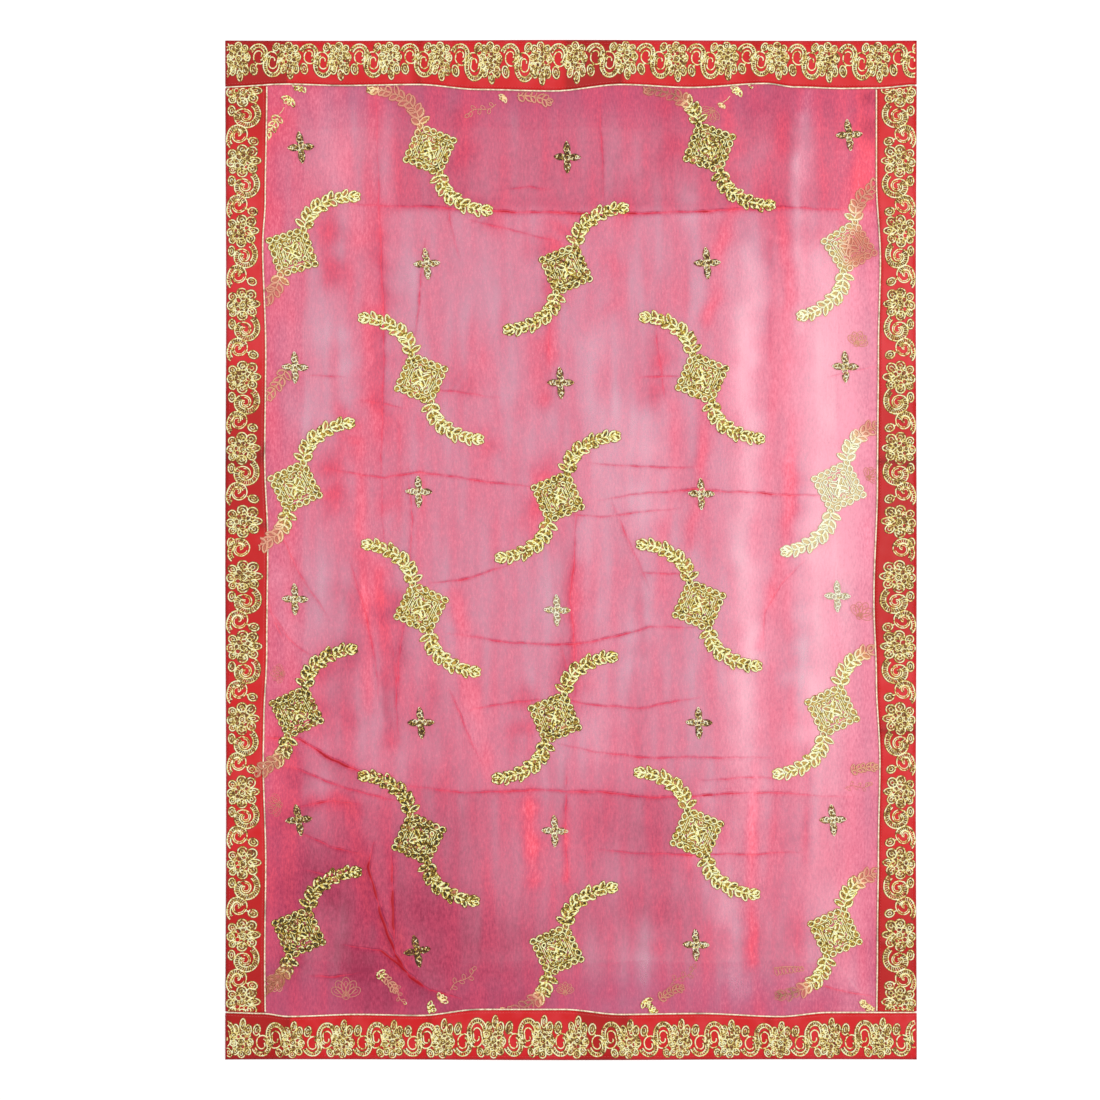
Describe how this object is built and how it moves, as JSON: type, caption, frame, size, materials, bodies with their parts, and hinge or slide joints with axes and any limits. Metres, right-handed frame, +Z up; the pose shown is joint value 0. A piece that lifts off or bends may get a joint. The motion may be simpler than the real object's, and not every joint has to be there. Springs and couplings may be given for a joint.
{
  "type": "dupatta stole",
  "caption": "Sheer embroidered dupatta stole laid flat, framed by corded satin bands with a piping, and dressed with corded lozenges and small crosses.",
  "frame": {"origin": "bottom centre of the whole cloth, on the surface it lies on", "axes": "+X across the cloth's width, +Y along its length, +Z up from the surface"},
  "size_m": [0.94, 1.387, 0.008],
  "materials": {
    "sheer": "sheer crinkled organza",
    "satin": "satin",
    "cord": "metallic gold cord",
    "piping": "cream and gold twisted cord"
  },
  "bodies": {
    "root": {"field": "sheer", "margin_bottom": "sheer", "margin_left": "sheer", "margin_right": "sheer", "margin_top": "sheer", "band_bottom": "satin", "band_left": "satin", "band_right": "satin", "band_top": "satin", "piping_bottom": "piping", "piping_left": "piping", "piping_right": "piping", "piping_top": "piping", "lozenge_a1": "cord", "lozenge_a2": "cord", "lozenge_a3": "cord", "lozenge_a4": "cord", "lozenge_b1": "cord", "lozenge_b2": "cord", "lozenge_b3": "cord", "lozenge_b4": "cord", "lozenge_c1": "cord", "lozenge_c2": "cord", "lozenge_c3": "cord", "lozenge_c4": "cord", "lozenge_d1": "cord", "lozenge_d2": "cord", "lozenge_d3": "cord", "lozenge_d4": "cord", "lozenge_e1": "cord", "lozenge_e2": "cord", "lozenge_e3": "cord", "lozenge_e4": "cord", "cross_a1": "cord", "cross_a2": "cord", "cross_a3": "cord", "cross_a4": "cord", "cross_b1": "cord", "cross_b2": "cord", "cross_b3": "cord", "cross_b4": "cord", "cross_c1": "cord", "cross_c2": "cord", "cross_c3": "cord", "cross_c4": "cord", "cross_d1": "cord", "cross_d2": "cord", "cross_d3": "cord", "cross_d4": "cord", "cross_e1": "cord", "cross_e2": "cord", "cross_e3": "cord", "cross_e4": "cord"}
  },
  "joints": []
}
